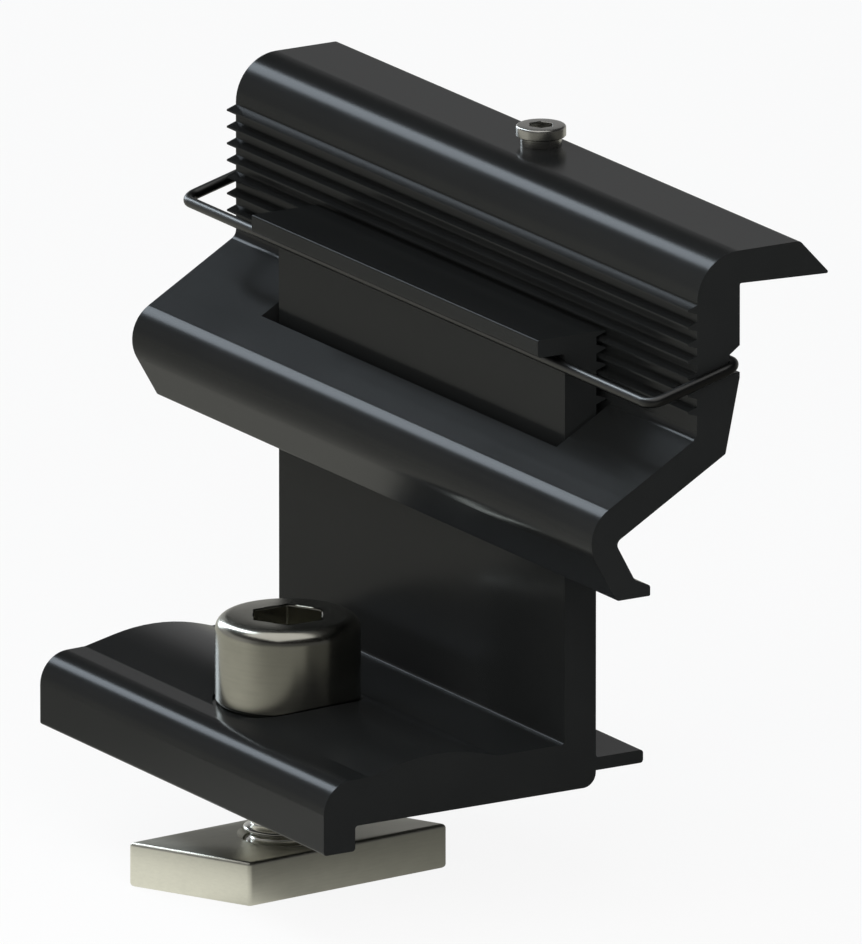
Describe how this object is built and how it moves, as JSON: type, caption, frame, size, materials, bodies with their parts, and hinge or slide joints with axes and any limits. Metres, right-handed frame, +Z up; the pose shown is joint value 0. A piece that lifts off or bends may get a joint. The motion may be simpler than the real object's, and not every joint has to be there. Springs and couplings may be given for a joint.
{
  "type": "solar panel end clamp",
  "caption": "Solar panel end clamp: a screw and slot nut hold its bracket on a rail, and a toothed jaw with a wire spring clicks down over the edge of the panel.",
  "frame": {"origin": "where the screw's axis meets the flat underside of the foot, which rests on the rail", "axes": "+X along the rail and both extrusions, +Y towards the panel, +Z up along the screw"},
  "size_m": [0.0816, 0.0454, 0.0658],
  "materials": {
    "black_anodised": "black anodised, satin",
    "spring_wire": "drawn, satin",
    "stainless": "satin",
    "bright_stainless": "bright"
  },
  "bodies": {
    "base": {"base_bracket": "black_anodised"},
    "jaw": {"clamp_jaw": "black_anodised", "spring_clip": "spring_wire", "earthing_pin": "bright_stainless"},
    "screw": {"cap_screw": "stainless"},
    "nut": {"slot_nut": "stainless"}
  },
  "joints": [
    {"name": "jaw_slide", "type": "slide", "parent": "base", "child": "jaw", "axis": [0, 0, 1], "range_m": [-0.0093, 0]},
    {"name": "screw_turn", "type": "hinge", "parent": "base", "child": "screw", "pos_m": [0, 0, 0], "axis": [0, 0, 1], "range_deg": [-1440, 360]},
    {"name": "nut_travel", "type": "slide", "parent": "base", "child": "nut", "axis": [0, 0, 1], "range_m": [-0.0013, 0.0051]}
  ],
  "couplings": [
    {"joint": "nut_travel", "follows": "screw_turn", "m_per_rad": -0.00019894}
  ]
}
